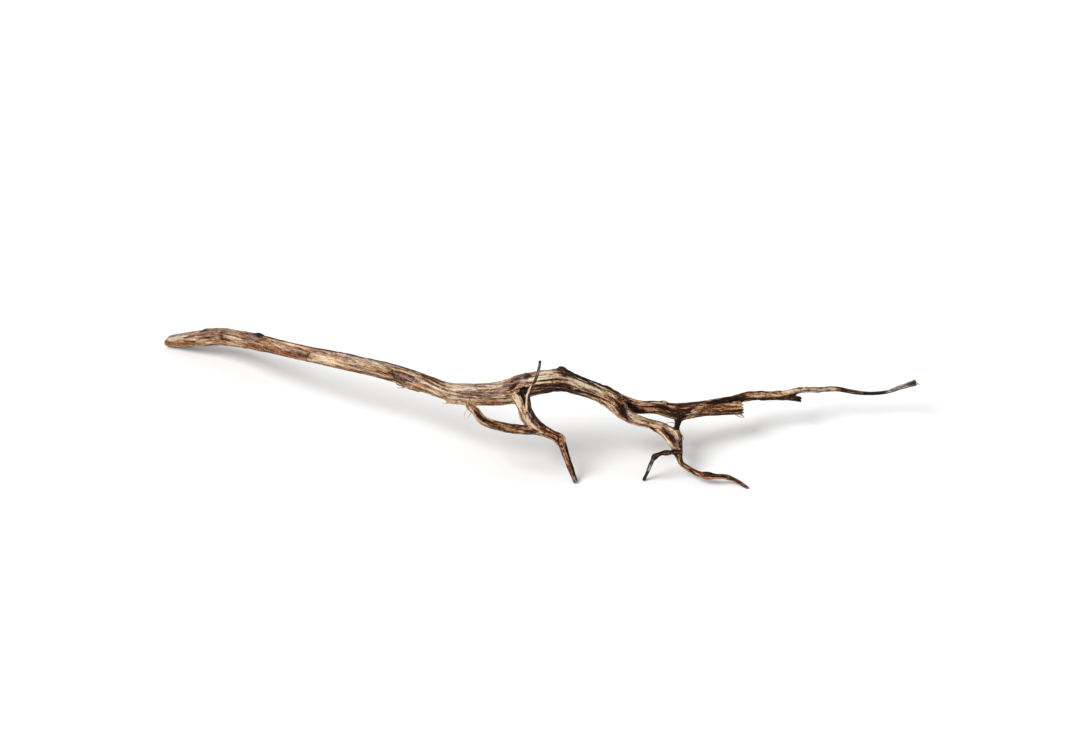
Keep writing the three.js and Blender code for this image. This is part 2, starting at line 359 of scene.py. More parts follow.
# The rough shape is a copy of the solid, remade with even faces fine enough for furrows
bpy.ops.object.select_all(action="DESELECT")
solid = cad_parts["snake_wood"]
solid.select_set(True)
bpy.context.view_layer.objects.active = solid
bpy.ops.object.duplicate()
branch = bpy.context.object
branch.name = "weathered_branch"
branch.data.materials.clear()
bpy.ops.object.mode_set(mode="EDIT")
bpy.ops.mesh.select_all(action="SELECT")
bpy.ops.mesh.remove_doubles(threshold=0.00001)
bpy.ops.mesh.normals_make_consistent(inside=False)
bpy.ops.object.mode_set(mode="OBJECT")
remesh = branch.modifiers.new("even_faces", "REMESH")
remesh.mode = "VOXEL"
remesh.voxel_size = VOXEL * MM
bpy.ops.object.modifier_apply(modifier=remesh.name)

# The faces of the solid are drawn on to the round wood, with soft crotches where limbs join. No point goes
# further than the longest step in one round, nor further than the longest move in all, in millimetres.
ROUNDS = 4
LONGEST_STEP = 0.9
LONGEST_MOVE = 2.6
places = np.zeros(len(branch.data.vertices) * 3)
branch.data.vertices.foreach_get("co", places)
points = places.reshape(-1, 3) / MM
start = points.copy()
for _ in range(ROUNDS):
    out, way, shares, spots = wood_field(points)
    points = points - np.clip(out, -LONGEST_STEP, LONGEST_STEP)[:, None] * way
    moved = points - start
    length = np.linalg.norm(moved, axis=1)[:, None]
    points = start + moved * np.minimum(1, LONGEST_MOVE / np.maximum(length, 1e-6))
out, way, shares, spots = wood_field(points)

# The grain runs along each limb and winds slowly round it. Most neighbouring limbs are in different sets,
# so that the pattern of one can fade into the other's over a few millimetres of the crotch. Each limb and
# each set has its own stretch of the pattern, this many millimetres from the next.
GRAIN_TURNS_PER_METRE = 1.3
LIMB_STRETCH = 700
SET_STRETCH = 5000
GRAIN_FADE = 1.6
FIRST_GRAIN = ("main", "snapped_limb", "tail_spur", "strut", "root_spur", "upright_twig", "knee_strand")
SECOND_GRAIN = ("tail", "front_leg", "back_foot", "knee_web", "long_sliver", "short_sliver")

piths["main"] = pith_line(LIMBS["trunk"][:-2] + LIMBS["fork_leg"][1:])


def grain_of(names):
    """Straightened places in millimetres on the nearest of these limbs, along it and two ways across, and
    how far away that limb is."""
    straight = np.zeros_like(points)
    nearest = np.full(len(points), np.inf)
    for number, name in enumerate(names):
        spot = on_limb(points, piths[name])
        gap = np.maximum(spot["off"] - spot["radius"], spot["past"])
        closer = gap < nearest
        nearest = np.minimum(nearest, gap)
        turn = spot["turn"] + 2 * math.pi * GRAIN_TURNS_PER_METRE * spot["along"] * MM
        along = spot["along"] + LIMB_STRETCH * number
        here = np.stack([along, spot["off"] * np.cos(turn), spot["off"] * np.sin(turn)], axis=1)
        straight[closer] = here[closer]
    return straight, nearest


first_grain, first_gap = grain_of(FIRST_GRAIN)
second_grain, second_gap = grain_of(SECOND_GRAIN)
second_grain[:, 0] += SET_STRETCH
grain_mix = soft_step(-GRAIN_FADE, GRAIN_FADE, first_gap - second_gap)


def grained(length, width, seed):
    """Noise drawn out along the grain: the length and the width of its waves in millimetres."""
    waves = np.array([length, width, width])
    one = smooth_noise(first_grain / waves, seed)
    other = smooth_noise(second_grain / waves, seed)
    return one + (other - one) * grain_mix


# What weather, bark and rot have left on each limb, with some painted shade and painted highlights among
# them.
# A mark is written as the place along the limb and the place across it where it starts, the same where it
# ends, its half-width in millimetres and its strength. Across goes from -1 to 1 as the camera sees the
# limb, from its right-hand edge to its left-hand edge for someone who looks from the root to the end.
MARKS = {
    # Bare wood that the sun has bleached to cream, and some painted highlights: a small glint on the knot
    # at the root of the fork leg, and the cream lines along the tail's upper and lower edge from x 112 to
    # 152
    "bleached": {
        "trunk": [
            (-370, 0.35, -346, 0.45, 2.8, 0.8), (-366, -0.15, -334, -0.1, 1.8, 0.7),
            (-346, 0.78, -330, 0.84, 0.8, 0.7), (-320, 0.12, -310, 0.16, 0.8, 0.8),
            (-341, 0.05, -326, 0.18, 1.1, 0.95), (-332, -0.4, -322, -0.35, 0.8, 0.8),
            (-318, 0.6, -304, 0.5, 1.3, 0.5), (-322, -0.62, -312, -0.6, 0.7, 0.8),
            (-298, 0.08, -280, -0.02, 1.2, 1), (-298, -0.78, -280, -0.75, 0.8, 0.8),
            (-334, 0.5, -312, 0.45, 3, 0.35), (-318, 0.2, -300, 0, 2.4, 0.3),
            (-265, 0.32, -232, 0.05, 2.5, 0.3), (-250, 0.75, -215, 0.7, 0.8, 0.4),
            (-200, 0.15, -140, 0.2, 4.4, 0.5), (-206, -0.5, -128, -0.6, 1.7, 0.75),
            (-121, 0.55, -100, 0.42, 1, 0.9), (-112, -0.5, -80, -0.62, 1.1, 0.8),
            (-104, 0.12, -75, -0.17, 1.3, 0.95), (-75, -0.17, -60, -0.28, 1.2, 0.8),
            (-76, 0.48, -50, 0.32, 1.7, 0.75), (-74, -0.72, -20, -0.82, 1.1, 1),
            (-64, -0.4, -24, -0.5, 1.1, 0.9), (-46, 0.45, -24, 0.5, 1.6, 0.6),
            (-9, 0.12, -4, 0.18, 1.6, 0.8), (-2, 0.5, 24, 0.5, 3.6, 0.9), (8, 0.34, 30, 0.32, 0.9, 1),
            (6, -0.03, 44, -0.1, 0.9, 1), (33, 0.35, 50, 0.3, 3.4, 0.95), (30, -0.3, 46, -0.36, 0.7, 0.8),
            (43.5, -0.5, 45.5, -0.62, 0.6, 0.9), (42, 0.15, 78, 0.3, 3.2, 1),
            (46, -0.35, 80, -0.32, 0.8, 0.95), (44, -0.66, 82, -0.62, 1.4, 0.8),
        ],
        "tail": [
            # the cream lines from 112 to 127 along the upper edge and from 124 to 152 along the lower edge
            # are painted highlights
            (94, 0.85, 106, 0.8, 0.9, 0.5), (112, 0.75, 127, 0.88, 0.9, 0.9),
            (105, -0.16, 114, -0.1, 0.5, 0.8), (104, -0.5, 124, -0.42, 0.7, 0.85),
            (124, -0.8, 152, -0.82, 0.8, 0.9), (146, -0.47, 162, 0.19, 0.8, 1),
            (232, 0.1, 252, 0.1, 1.4, 0.8), (251, 0.1, 296, 0, 2.4, 0.75),
        ],
        "snapped_limb": [
            (150, -0.1, 162, 0.65, 0.8, 1), (178, 0.8, 201, 0.85, 1.2, 1), (188, 0.2, 201, 0.1, 0.7, 0.8),
        ],
        "fork_leg": [
            # the small mark from 15.5 to 18 is a painted highlight, a glint on the knot
            (32, -0.2, 62, -0.2, 5.5, 1), (15.5, 0.55, 18, 0.45, 1, 1), (33, 0.2, 60, 0.3, 5.5, 1),
            (46, 0.35, 82, 0.2, 3.4, 1), (60, 0.1, 80, 0, 2, 0.8), (100, -0.1, 114, -0.3, 2, 1),
        ],
        "knee_strand": [(0, 0, 30, 0, 2, 0.8)],
        "back_foot": [
            (8, 0.3, 20, 0.3, 0.6, 0.4), (36, 0.3, 44, 0.2, 0.9, 0.9), (50, 0.1, 57, 0.1, 0.9, 0.8),
        ],
        "front_leg": [
            (6, -0.6, 24, -0.55, 2.3, 0.95), (24, -0.5, 40, -0.5, 1.8, 0.8),
            (22, -0.1, 34, -0.15, 0.9, 0.8), (36, -0.4, 47, -0.4, 3.4, 1), (52, 0.5, 64, 0.5, 0.6, 0.9),
            (82, 0.05, 96, 0.05, 0.6, 0.6),
        ],
        "root_spur": [
            (20, 0.4, 34, 0.45, 0.6, 0.8), (50, 0.5, 62, 0.5, 0.6, 0.8), (70, 0.3, 80, 0.3, 1.4, 0.9),
            (30, -0.85, 60, -0.85, 0.7, 0.7),
        ],
        "upright_twig": [(2, 0.5, 40, 0.5, 0.9, 1)],
        "long_sliver": [(-79, 0.2, -62, 0.2, 1.4, 0.9), (-34, 0.75, -16, 0.8, 0.8, 0.9)],
    },
    # Thin inner bark, mauve brown, where it still holds
    "bark": {
        "trunk": [
            (-338, 0.4, -296, 0.35, 4.4, 0.7), (-306, 0.3, -296, -0.3, 3, 0.8),
            (-290, 0.3, -264, 0.5, 4, 0.7), (-268, -0.5, -216, -0.5, 2.6, 0.65),
            (-232, -0.05, -214, -0.1, 4, 0.6), (-167, 0.2, -158, -0.25, 1.8, 0.75),
            (-134, 0.36, -128, 0.3, 1.3, 0.8), (-128, -0.08, -104, 0.02, 2.9, 0.8),
            (-102, 0.32, -84, 0.12, 1.2, 0.85), (-66, 0.02, -26, -0.16, 2.4, 1),
            (-50, 0.78, -30, 0.74, 1.4, 0.5), (-26, 0.25, -5, 0.4, 3.8, 1), (-8, 0.6, 3, 0.72, 3, 0.85),
            (-12, -0.5, 2, -0.6, 3, 0.8), (25, 0.8, 33, 0.8, 4.4, 1), (0, -0.52, 40, -0.58, 3.2, 1),
            (80, 0.35, 89, -0.8, 3.2, 1), (46, -0.14, 80, -0.1, 1, 0.9),
        ],
        "tail": [(150, 0.55, 170, 0.6, 1.5, 0.6), (249, -0.2, 290, 0.1, 2.2, 0.45)],
        "front_leg": [(28, 0.2, 38, 0.1, 2.6, 1), (52, 0.1, 68, 0, 2.2, 0.6)],
        "root_spur": [(0, -0.2, 40, -0.3, 2, 0.5)],
        "fork_leg": [(11, 0.5, 32, -0.55, 3.4, 1), (114, 0.3, 160, 0.3, 1.6, 0.6)],
        "long_sliver": [(-45, 0.3, -24, 0.4, 1.4, 0.7)],
    },
    # Wood and bark stained red brown
    "rust": {
        "trunk": [
            (-345, 0.3, -300, 0.1, 4.5, 0.35), (-345, -0.45, -285, -0.5, 2.6, 0.5),
            (-306, 0.2, -300, -0.45, 2.2, 0.8), (-286, 0.35, -262, 0.5, 3, 0.3),
            (-274, -0.45, -216, -0.55, 2.8, 0.6), (-228, 0, -214, -0.2, 3.2, 0.45),
            (-205, -0.78, -146, -0.8, 1, 0.7), (-128, 0.1, -124, -0.4, 1.4, 0.6),
            (-40, -0.72, -24, -0.76, 1.6, 0.95), (-16, -0.1, -8, 0.1, 2, 0.7),
            (4, -0.45, 40, -0.5, 2.2, 0.7), (48, -0.62, 80, -0.6, 2.4, 0.85),
            (60, -0.12, 80, -0.05, 1, 0.8), (80, 0.5, 89, -0.6, 2.4, 0.8),
        ],
        "tail": [
            (72, 0, 186, 0, 8, 0.48), (102, 0.02, 117, -0.06, 1.8, 0.95), (104, 0.55, 122, 0.5, 1.1, 0.5),
            (130, 0.5, 152, 0.5, 0.9, 0.9), (134, -0.3, 152, -0.3, 0.8, 0.8), (192, 0.3, 216, 0.35, 2, 0.8),
            (160, 0.7, 186, 0.75, 0.7, 0.8),
        ],
        "snapped_limb": [
            (150, -0.5, 178, -0.65, 1.2, 0.8), (160, 0, 203, 0, 6, 0.3), (166, 0, 200, -0.3, 2.4, 0.6),
        ],
        "fork_leg": [
            (60, 0, 200, 0, 6, 0.4), (9, 0.6, 30, -0.6, 2.4, 0.9), (34, -0.8, 56, -0.8, 1, 0.7),
            (108, 0, 150, 0, 2, 0.5),
        ],
        "front_leg": [
            (52, 0, 76, 0, 7, 0.6), (56, 0, 104, 0, 8, 0.4), (56, 0.3, 68, 0.2, 2, 0.8),
            (76, -0.1, 108, -0.1, 1.8, 0.8),
        ],
        "root_spur": [(6, 0, 76, 0, 2.6, 0.55)],
        "long_sliver": [(-58, 0.1, -22, 0.2, 2, 1)],
    },
    # Clefts, rot and wet-blackened wood, and painted shade. The long thin marks along a limb's upper or
    # lower edge, where across is beyond about 0.75 either way, are painted shade: the dark rims where the
    # round wood turns away from the lamp, and the dark underside of the arch. The near-black in the crotch
    # cavity, in the hollow at the tail's root and on the knee web is painted shade in those hollows.
    "black_and_painted_shade": {
        "trunk": [
            (-329, 0.9, -322, 0.9, 1, 0.6), (-268, 0.93, -263, 0.93, 1.9, 0.95),
            (-303, 0.5, -300, -0.2, 0.8, 0.35), (-262, 0.96, -196, 0.95, 0.8, 0.5),
            (-244, 0.9, -232, 0.88, 0.4, 0.5), (-222, -0.1, -213, -0.4, 1.1, 0.4),
            (-214, -0.85, -211, 0.1, 0.9, 0.35), (-204, 0.97, -104, 0.94, 0.9, 0.55),
            (-172, 0.86, -150, 0.9, 0.4, 0.5), (-102, 0.82, -82, 0.86, 1.7, 0.6),
            (-128, 0.25, -126, -0.5, 0.7, 0.6), (-126, 0.26, -106, 0.25, 0.5, 0.85),
            (-124, -0.5, -107, -0.3, 0.5, 0.7), (-15, 0.1, -11, 0.25, 2, 0.75),
            # the marks from -5 to -3 and from -10 to -5 are the near-black of the crotch cavity: painted
            # shade in the hollow
            (-14, 0.6, -8, 0.62, 0.9, 0.6), (-3, 0.5, 1, 0.66, 1.9, 0.75), (-5, -0.2, -3, -0.32, 1.7, 1),
            (-10, -0.45, -5, -0.52, 1.7, 0.95), (27, 0.9, 32, 0.8, 2.8, 0.7),
            (26, 0.68, 33, 0.62, 2.5, 0.7), (32, 0.92, 52, 0.94, 1.7, 1), (50, 0.96, 78, 0.96, 1.1, 0.95),
            (2, -0.74, 40, -0.78, 1.6, 0.75), (12, -0.36, 36, -0.4, 0.8, 0.5),
            (9, 0.17, 31, 0.12, 0.6, 0.95), (42, -0.45, 45, -0.52, 1.8, 0.8),
            (46, -0.5, 80, -0.44, 0.6, 0.65), (42, -0.88, 80, -0.8, 0.5, 0.35),
            (81, 0.4, 88, -0.6, 1.8, 0.7),
        ],
        "tail": [
            # the first mark, from 87 to 102, is the near-black hollow at the tail's root: painted shade in
            # it
            (87, 0.3, 102, -0.6, 4.4, 1), (106, 0.88, 122, 0.86, 0.8, 0.85), (119, 0.3, 132, 0.05, 2.3, 1),
            (133, -0.02, 150, 0, 2.8, 1), (128, 0.84, 165, 0.85, 1.2, 0.85),
            (104, -0.8, 116, -0.76, 0.8, 0.9), (169, 0.3, 200, 0.25, 3.2, 0.95),
            (200, 0.85, 240, 0.85, 0.8, 0.85), (194, -0.5, 214, -0.6, 1.8, 0.8),
            (210, -0.8, 232, -0.8, 1.2, 0.95), (298, 0.1, 340, 0.1, 3.6, 1), (256, 0.6, 260, 0.6, 0.9, 0.8),
            (266, -0.1, 268, -0.1, 0.8, 0.7), (277, 0.4, 280, 0.4, 0.8, 0.7),
            (285, -0.5, 288, -0.4, 0.8, 0.7), (338, -0.8, 366, -0.7, 0.6, 0.8),
            (366, -0.2, 371, -0.2, 1.7, 0.8),
        ],
        "snapped_limb": [
            (146, -0.92, 198, -0.92, 0.8, 0.7), (143, 0.3, 151, 0.35, 2.4, 0.85),
            (153, -0.5, 166, 0.35, 0.8, 0.6), (158, 0, 194, -0.2, 5.5, 0.28),
            (166, -0.3, 182, -0.45, 0.9, 0.6), (168, 0.2, 184, 0.1, 1.3, 0.6),
            (186, 0.4, 199, 0.35, 0.7, 0.7), (192, -0.2, 202, -0.3, 1, 0.8),
            (180, 0.97, 201, 0.97, 0.6, 0.8),
        ],
        "tail_spur": [(225, 0, 262, 0, 4, 1)],
        "fork_leg": [
            (20, 0.35, 30, -0.5, 1.5, 0.95), (14, 0.75, 20, 0.75, 0.7, 0.7), (40, 0.93, 84, 0.9, 0.6, 0.8),
            (54, -0.9, 84, -0.85, 1.6, 1), (84, 0.45, 99, 0.3, 2, 0.6), (97, 0.2, 108, 0.5, 2.8, 0.95),
            (104, 0.8, 144, 0.85, 0.8, 0.6), (108, -0.2, 124, -0.3, 0.9, 0.7),
            (132, 0, 150, -0.1, 0.6, 0.6), (160, 0, 192, 0, 3, 0.45), (88, 0.9, 104, 0.9, 1.2, 0.8),
        ],
        # the web between the knee strand and the fork leg is black all over: painted shade in the groove
        # behind the strand
        "knee_web": [(0, 0, 40, 0, 4, 1)],
        "back_foot": [
            (0, 0, 34, 0, 4, 0.95), (30, 0, 62, 0, 3, 0.3), (34, -0.6, 62, -0.6, 1.1, 0.8),
            (44, 0.4, 50, 0.4, 1, 0.8), (58, 0, 64, 0, 3, 0.8),
        ],
        "strut": [(0, 0, 34, 0, 6, 1)],
        "front_leg": [
            (8, 0.3, 26, 0.3, 1.4, 1), (14, 0.85, 50, 0.86, 1.4, 0.9), (29, 0.45, 31, -0.2, 0.9, 0.9),
            (37, 0.4, 38, -0.1, 0.8, 0.7), (50, 0.75, 66, 0.8, 0.8, 0.9), (48, 0.2, 68, 0.3, 0.7, 0.7),
            (50, -0.55, 70, -0.5, 0.9, 0.9), (64, 0.5, 68, -0.4, 0.9, 0.8), (69, -0.2, 73, -0.5, 1, 0.6),
            (75, 0.7, 77, -0.4, 0.7, 0.6), (76, 0.75, 112, 0.7, 1.3, 1), (76, -0.9, 108, -0.88, 0.6, 0.9),
            (38, 0.1, 43, 0.1, 1.2, 0.6),
        ],
        "root_spur": [
            (0, -0.86, 46, -0.84, 1.1, 0.95), (44, -0.6, 72, -0.5, 0.9, 0.6), (6, 0.1, 15, 0.3, 1.8, 0.8),
            (4, 0.95, 20, 0.95, 0.8, 0.7), (56, 0.1, 74, 0.1, 0.8, 0.8), (22, 0.95, 60, 0.92, 0.7, 0.8),
            (44, -0.3, 62, -0.2, 0.8, 0.6),
        ],
        "upright_twig": [
            (2, -0.6, 42, -0.6, 0.9, 0.9), (46, 0, 80, 0, 2, 0.4), (46, -0.4, 80, -0.4, 1.2, 0.7),
        ],
        "long_sliver": [(-44, -0.6, -33, -0.5, 0.7, 0.8)],
    },
    # Wood laid bare not long ago, still golden
    "golden": {
        "trunk": [
            (-368, -0.55, -336, -0.62, 1.5, 1), (-278, -0.45, -258, -0.62, 1.6, 0.95),
            (-206, -0.72, -130, -0.8, 1.1, 0.6), (-118, -0.62, -94, -0.62, 1.4, 0.8),
            (-78, -0.85, -50, -0.85, 1, 0.85), (-30, 0.6, -8, 0.75, 2.2, 0.35),
            (-20, -0.25, -10, -0.2, 1.8, 0.8),
        ],
        "tail": [
            (103, 0.52, 120, 0.44, 1.6, 1), (119, -0.5, 134, -0.62, 1.4, 1),
            (132, -0.75, 152, -0.85, 1, 0.9), (216, 0, 250, -0.15, 1.7, 1), (96, 0.7, 104, 0.66, 1.2, 0.6),
        ],
        "snapped_limb": [(158, 0, 202, 0, 5.5, 0.95)],
        "fork_leg": [(30, -0.3, 60, -0.3, 4, 0.35), (114, -0.1, 158, -0.1, 2, 0.8)],
        "knee_strand": [(0, 0, 30, 0, 2, 0.5)],
        "front_leg": [
            (54, 0, 70, -0.1, 1.3, 0.6), (40, -0.6, 52, -0.5, 1.2, 0.6), (64, 0.1, 76, 0, 3.4, 0.9),
            (76, -0.25, 106, -0.25, 1.6, 0.9),
        ],
        "root_spur": [(10, 0.3, 76, 0.2, 1.9, 1), (18, -0.1, 40, 0, 1.2, 0.8)],
        "long_sliver": [(-76, 0.2, -12, 0.3, 2.4, 1)],
        "short_sliver": [(-127, 0, -106, 0, 3, 0.8)],
    },
    # Wood that rain has leached to grey
    "grey": {
        "trunk": [
            (-370, 0.45, -340, 0.6, 3, 0.95), (-320, 0.8, -296, 0.8, 1.6, 0.6),
            (-278, 0.75, -268, 0.75, 1.4, 0.7), (-70, 0.6, -30, 0.65, 1.6, 0.6),
            (10, 0.4, 28, 0.38, 1.2, 0.6), (-200, 0.7, -110, 0.65, 1.2, 0.5),
        ],
        "tail": [(338, 0, 372, 0, 3, 0.95), (292, 0.7, 338, 0.7, 0.7, 0.7)],
        "fork_leg": [(84, 0.3, 97, 0.2, 3, 0.6), (62, 0.8, 80, 0.8, 0.8, 0.6)],
        "back_foot": [(30, 0.2, 62, 0.2, 2.4, 0.85)],
        "front_leg": [(106, 0, 116, 0, 3, 0.95)],
        "upright_twig": [(46, 0, 80, 0, 3, 0.5)],
    },
    # Splits along the grain, and hollows. They are cut into the wood, and the same values darken its
    # colour, as painted shade in them
    "cleft": {
        "trunk": [
            (-300, 0.25, -262, 0.2, 0.6, 0.5), (-212, 0.62, -150, 0.58, 0.6, 0.6),
            (-150, -0.35, -118, -0.3, 0.7, 0.6), (-96, -0.12, -62, -0.4, 0.7, 0.8),
            (-100, 0.62, -60, 0.42, 0.8, 0.8), (-60, 0.22, -24, 0.28, 0.7, 0.7),
            (9, 0.17, 31, 0.12, 0.8, 1), (0, -0.2, 40, -0.25, 0.8, 1), (40, -0.05, 80, 0.12, 0.8, 0.9),
            (40, -0.48, 80, -0.42, 0.9, 1), (42, -0.78, 80, -0.7, 0.8, 0.35), (36, 0.6, 76, 0.62, 0.9, 0.8),
            (-5, -0.2, -3, -0.3, 1.5, 1.6), (-9, -0.45, -6, -0.52, 1.4, 1.4),
            (-14, 0.1, -12, 0.2, 1.5, 0.8), (84, 0.1, 88, -0.5, 1.5, 1.4),
        ],
        "tail": [
            (104, 0.1, 130, 0, 0.8, 0.9), (120, -0.5, 150, -0.55, 0.8, 0.9),
            (160, -0.1, 196, -0.2, 0.8, 0.9), (206, 0.3, 240, 0.2, 0.6, 0.7), (88, 0.1, 100, -0.5, 1.8, 1),
        ],
        "snapped_limb": [(174, 0.35, 198, 0.3, 0.5, 0.5), (180, -0.4, 196, -0.35, 0.5, 0.5)],
        "fork_leg": [
            (20, 0.2, 29, -0.45, 1.2, 1), (44, -0.62, 80, -0.62, 0.8, 0.8), (48, 0.05, 76, 0.1, 0.5, 0.35),
        ],
        "front_leg": [
            (8, 0.25, 26, 0.25, 1.4, 1.5), (54, 0.3, 66, 0.3, 0.6, 0.7), (65, 0.5, 68, -0.6, 0.6, 0.5),
            (78, 0.3, 108, 0.3, 0.6, 0.8),
        ],
        "root_spur": [(14, 0.62, 50, 0.6, 0.6, 0.8), (20, -0.15, 66, -0.15, 0.6, 0.8)],
    },
}

# The marks of the far side, which the picture doesn't show, are those of the near side turned upside down.
# They are moved along by so many millimetres, or by a part of a short limb's length, and drawn in a little.
FAR_SIDE_MOVE = 27
SHORT_LIMB_MOVE = 0.15
FAR_SIDE_DRAWN_IN = 1.15

edge_ripple = grained(16, 1.8, 5) + 0.6 * grained(7, 0.9, 6)


def marked(kind):
    """How strongly one kind of mark shows at each point, on the near side and on the far side."""
    shown = np.zeros(len(points))
    for limb, marks in MARKS[kind].items():
        near, spot = spots[limb]
        along = spot["x"] if limb in PLACED_BY_X else spot["along"]
        across = np.sin(spot["turn"]) * spot["radius"]
        near_side = soft_step(-0.3, -0.05, np.cos(spot["turn"]))
        move = min(FAR_SIDE_MOVE, SHORT_LIMB_MOVE * piths[limb]["along"][-1])
        far_across = -FAR_SIDE_DRAWN_IN * across
        sides = ((along, across, near_side), (along + move, far_across, 1 - near_side))
        for start_at, start_across, end_at, end_across, half_width, strength in marks:
            for side_along, side_across, on_side in sides:
                t = np.clip((side_along - start_at) / (end_at - start_at), 0, 1)
                middle = (start_across + (end_across - start_across) * t) * spot["radius"]
                taper = 0.45 + 0.55 * np.sin(math.pi * (0.08 + 0.84 * t))
                slant = np.hypot(1, (end_across - start_across) * spot["radius"] / (end_at - start_at))
                past_end = side_along - start_at - t * (end_at - start_at)
                gap = np.hypot(0.5 * past_end, (side_across - middle) / slant) / (half_width * taper)
                mark = strength * on_side * soft_step(1.5, 0.5, gap + 0.45 * edge_ripple[near])
                shown[near] = np.maximum(shown[near], mark * np.minimum(1, 1.6 * shares[limb][near]))
    return shown


marks = {kind: marked(kind) for kind in MARKS}

# The relief: broad swells along the grain, splits, fine fibres, knuckles on thin limbs, and bark that
# stands proud with a broken edge. It is this deep, in millimetres, on a limb of the thick radius, shallower
# on thin limbs and on the sounder thick end, and nearly flat on the saw cut and where wood meets the floor.
THICK_LIMB = 7
SPLIT_DEPTH = 0.95
HOLLOW_DEPTH = 1.6
BARK_HEIGHT = 0.5
PEBBLE_HEIGHT = 0.25
KNUCKLE_LENGTH = 7

girth = np.zeros(len(points))
for name, (near, spot) in spots.items():
    girth[near] += shares[name][near] * spot["radius"]
worn = 0.7 + 0.3 * soft_step(-150, 30, points[:, 0])
relief_scale = np.clip(girth / THICK_LIMB, 0.22, 1.2) * worn
sawn = soft_step(0.6, 1.6, (points - CUT_POINT) @ CUT_NORMAL)
lain = soft_step(1.2, 0.2, points[:, 2])

split_lines = soft_step(0.17, 0.03, np.abs(grained(75, 3.1, 11)))
split_where = soft_step(-0.15, 0.35, grained(45, 10, 12))
splits = split_lines * split_where * (1 - 0.7 * marks["bark"]) * (1 - 0.6 * marks["bleached"])
cleft = np.clip(np.maximum(0.75 * splits, marks["cleft"]), 0, 1.6)
ridges = 0.75 * grained(38, 2.6, 14) + 0.5 * grained(20, 1.5, 15)
swell = 0.75 * grained(65, 5.2, 13) + 0.5 * ridges
knuckles = girth * (0.035 + 0.12 * soft_step(5.5, 3.5, girth)) * smooth_noise(points / KNUCKLE_LENGTH, 17)
pebble = smooth_noise(points / [2.6, 2.2, 2.2], 16)
bark_edge = soft_step(0.3, 0.6, marks["bark"])
bark_height = BARK_HEIGHT + PEBBLE_HEIGHT * pebble
relief = swell * relief_scale + knuckles + bark_edge * bark_height * relief_scale
depth = SPLIT_DEPTH * np.minimum(cleft, 1) + HOLLOW_DEPTH * np.maximum(cleft - 1, 0)
relief = relief - depth * relief_scale
relief *= (1 - 0.85 * sawn) * (1 - 0.9 * lain)
points = points + relief[:, None] * way

# Where a limb has snapped, its end is drawn out into ragged splinters this long. They begin this far before
# the end, in millimetres, and the gaps between them are darkened with painted shade.
TOOTH_WIDTH = 1.8
TEETH_BEGIN = 8
RAGGED_ENDS = {"snapped_limb": 4.8, "root_spur": 5, "tail_spur": 2, "tail": 2, "upright_twig": 1}
for name, longest in RAGGED_ENDS.items():
    near, spot = spots[name]
    middle_dip = 0.45 * np.exp(-(spot["off"] / TOOTH_WIDTH) ** 2)
    teeth = smooth_noise(spot["radial"] / TOOTH_WIDTH, 21) - middle_dip
    at_end = soft_step(-TEETH_BEGIN, 0, spot["past"]) * (spot["along"] > 5) * shares[name][near]
    points[near] += (longest * (teeth - 0.1) * at_end)[:, None] * spot["way"]
    gaps = 1.3 * soft_step(0, -0.5, teeth) * soft_step(-3, -0.5, spot["past"]) * at_end
    cleft[near] = np.maximum(cleft[near], gaps)

branch.data.vertices.foreach_set("co", (points * MM).ravel())
branch.data.update()
branch.data.shade_smooth()

# The material reads these values and straightened places from the mesh
own_values = {
    **marks, "cleft": cleft, "ridges": ridges, "swell": swell, "worn": worn, "grain_mix": grain_mix,
}
own_places = {"first_grain": first_grain * MM, "second_grain": second_grain * MM}
for name, values in own_values.items():
    attribute = branch.data.attributes.new(name, "FLOAT", "POINT")
    attribute.data.foreach_set("value", values.astype(np.float32))
for name, values in own_places.items():
    attribute = branch.data.attributes.new(name, "FLOAT_VECTOR", "POINT")
    attribute.data.foreach_set("vector", values.astype(np.float32).ravel())

# Bare weathered wood, sanded by rain and sun and never finished: streaks of grey brown and cream along the
# grain, matt, with bark, rot and fresh wood where the marks are, and painted shade and painted highlights
# where some of them are. The eye reads it as old driftwood.
DRY_WOOD_SHINE = 0.18

weathered_wood, tree, shader = new_material("bare_weathered_wood")
on_branch = {
    name: add_node(tree, "ShaderNodeAttribute", {}, "Fac", attribute_name=name) for name in own_values
}
grains = [add_node(tree, "ShaderNodeAttribute", {}, "Vector", attribute_name=name) for name in own_places]


def streaks(length, width, low, high, detail=2):
    """A pattern from 0 to 1, drawn out along the grain of both sets of limbs, in streaks this long and wide
    in millimetres. The noise below low gives 0, the noise above high gives 1."""
    per_streak = [1 / (mm * MM) for mm in (length, width, width)]
    patterns = []
    for grain in grains:
        drawn = add_node(tree, "ShaderNodeMapping", {"Vector": grain, "Scale": per_streak})
        noise = {"Vector": drawn, "Scale": 1, "Detail": detail, "Roughness": 0.6}
        patterns.append(add_node(tree, "ShaderNodeTexNoise", noise))
    both = add_node(tree, "ShaderNodeMix", {0: on_branch["grain_mix"], 2: patterns[0], 3: patterns[1]})
    limits = {"Value": both, "From Min": low, "From Max": high}
    return add_node(tree, "ShaderNodeMapRange", limits, interpolation_type="SMOOTHSTEP")


# Real fibres are under a tenth of a millimetre wide, too fine for the picture, so the finest streaks are
# drawn about a millimetre wide. The others have the size of the grooves and stains on such a branch.
hair = streaks(9, 0.8, 0.41, 0.59)
grain = streaks(22, 1.7, 0.42, 0.58)
band = streaks(50, 3.6, 0.39, 0.61)
patch = streaks(60, 13, 0.36, 0.64, detail=3)
fleck = streaks(4.5, 1.5, 0.41, 0.59)
speckle = streaks(1.6, 1.1, 0.42, 0.58, detail=1)
stain = streaks(26, 1.5, 0.5, 0.62)
